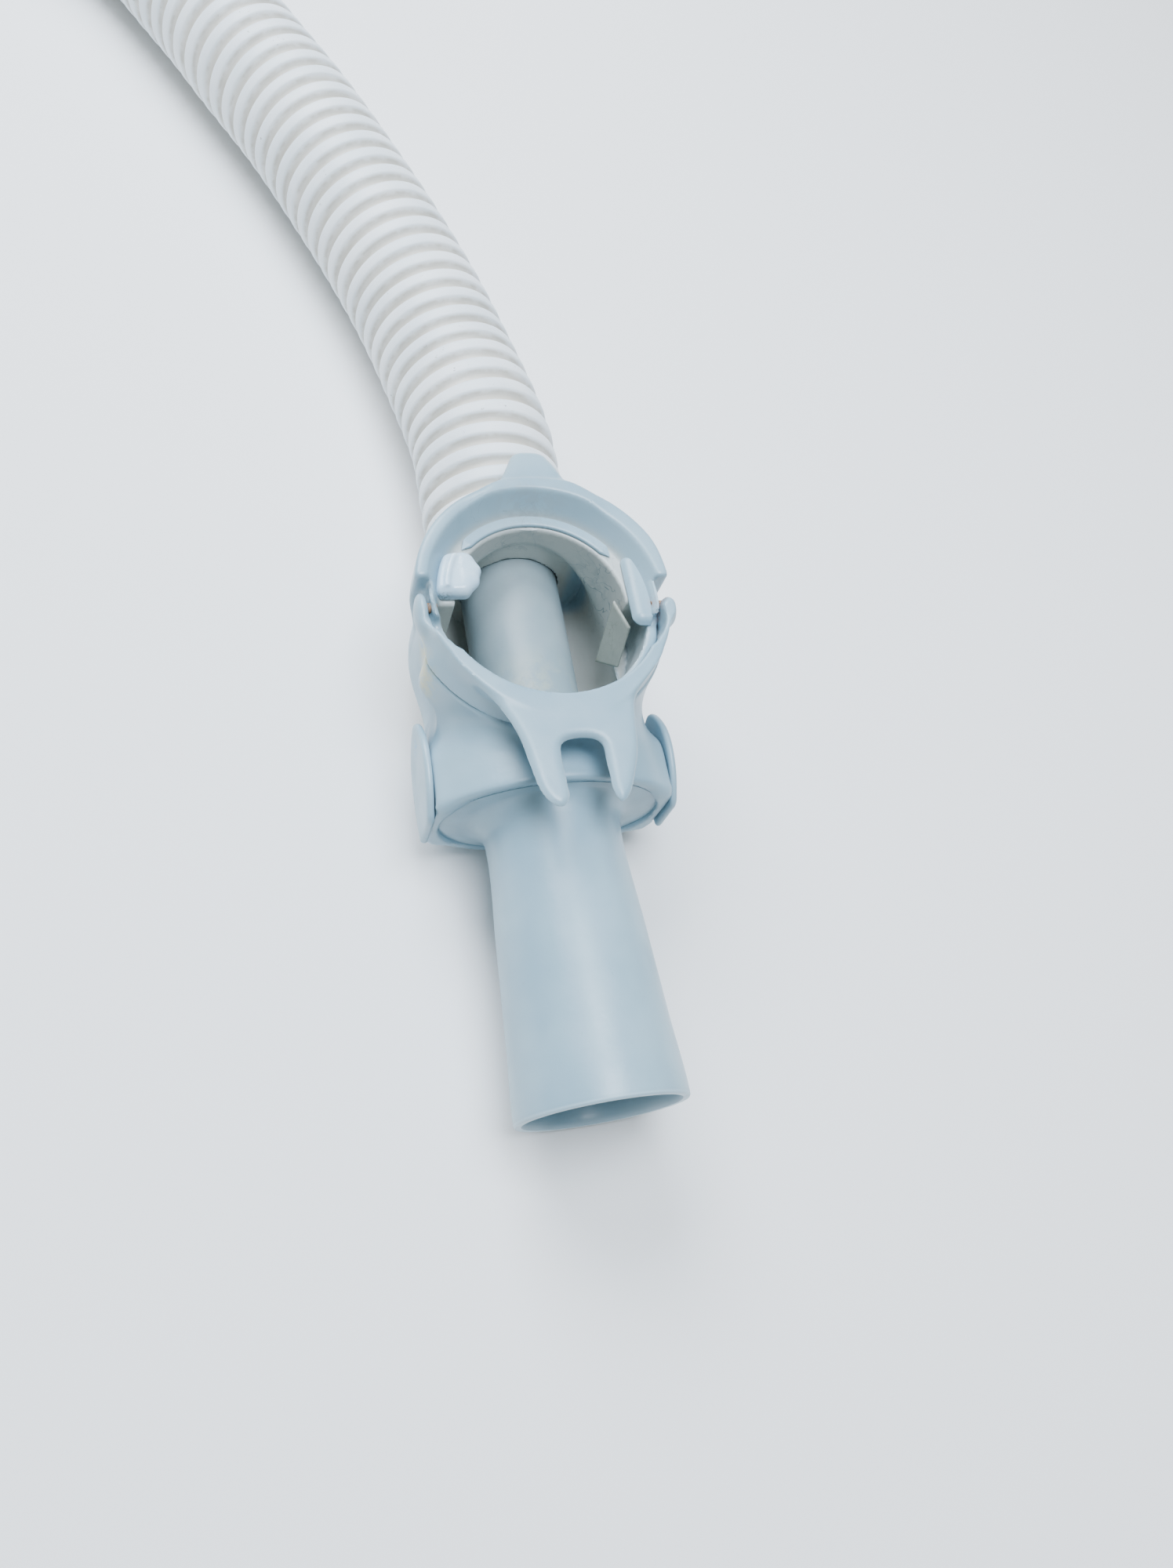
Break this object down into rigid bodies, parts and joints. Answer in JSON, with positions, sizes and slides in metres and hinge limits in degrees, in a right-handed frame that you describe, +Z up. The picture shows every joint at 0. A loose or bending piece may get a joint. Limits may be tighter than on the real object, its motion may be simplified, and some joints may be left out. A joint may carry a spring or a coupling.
{
  "type": "pool cleaner hose end fitting",
  "caption": "Pale blue moulded end fitting of a pool cleaner's suction line: tapered spigot, tabbed collar, open round chamber with forked bail, and ribbed hose.",
  "frame": {"origin": "on the floor under the middle of the fitting, leaving out the hose and its far cuff", "axes": "+Z up, out of the round mouth; +Y along the pipe, from the spigot towards the hose; +X to the right, seen from the spigot"},
  "size_m": [0.5419, 0.6064, 0.0696],
  "materials": {
    "pale_blue_abs": "satin gloss, lightly weathered",
    "white_nylon": "gloss",
    "aged_translucent_nylon": "satin, aged",
    "grey_polypropylene": "satin",
    "off_white_hose_eva": "satin",
    "black_rubber": "matte",
    "white_ptfe": "satin",
    "rusty_steel": "rusted"
  },
  "bodies": {
    "hose_line": {"hose": "off_white_hose_eva", "hose_grip_end": "off_white_hose_eva", "swivel_sleeve": "grey_polypropylene", "end_cuff": "off_white_hose_eva", "end_cuff_seal": "black_rubber"},
    "fitting": {"chamber_body": "pale_blue_abs", "spigot_tube": "pale_blue_abs", "spigot_seal": "black_rubber", "inner_tube": "grey_polypropylene", "inner_tube_seal": "black_rubber", "swivel_washer": "white_ptfe", "swivel_seal": "black_rubber", "swivel_retaining_ring": "pale_blue_abs", "mouth_seat_rail": "pale_blue_abs", "baffle_plate": "aged_translucent_nylon", "pin_boss_left": "white_nylon", "pin_boss_right": "aged_translucent_nylon", "yoke_pin_left": "rusty_steel", "yoke_pin_right": "rusty_steel"},
    "bail": {"latch_yoke": "pale_blue_abs"},
    "tab_left": {"release_tab_left": "pale_blue_abs"},
    "tab_right": {"release_tab_right": "pale_blue_abs"}
  },
  "joints": [
    {"name": "hose_swivel", "type": "hinge", "parent": "hose_line", "child": "fitting", "pos_m": [0, 0.07, 0.029], "axis": [0, 1, 0], "continuous": true},
    {"name": "bail_hinge", "type": "hinge", "parent": "fitting", "child": "bail", "pos_m": [0, 0.032, 0.064], "axis": [-1, 0, 0], "range_deg": [0, 100]},
    {"name": "tab_left_press", "type": "hinge", "parent": "fitting", "child": "tab_left", "pos_m": [-0.0359, -0.006, 0.029], "axis": [0, 0, -1], "range_deg": [0, 8], "stiffness_Nm_per_rad": 0.03},
    {"name": "tab_right_press", "type": "hinge", "parent": "fitting", "child": "tab_right", "pos_m": [0.0359, -0.006, 0.029], "axis": [0, 0, 1], "range_deg": [0, 8], "stiffness_Nm_per_rad": 0.03}
  ]
}
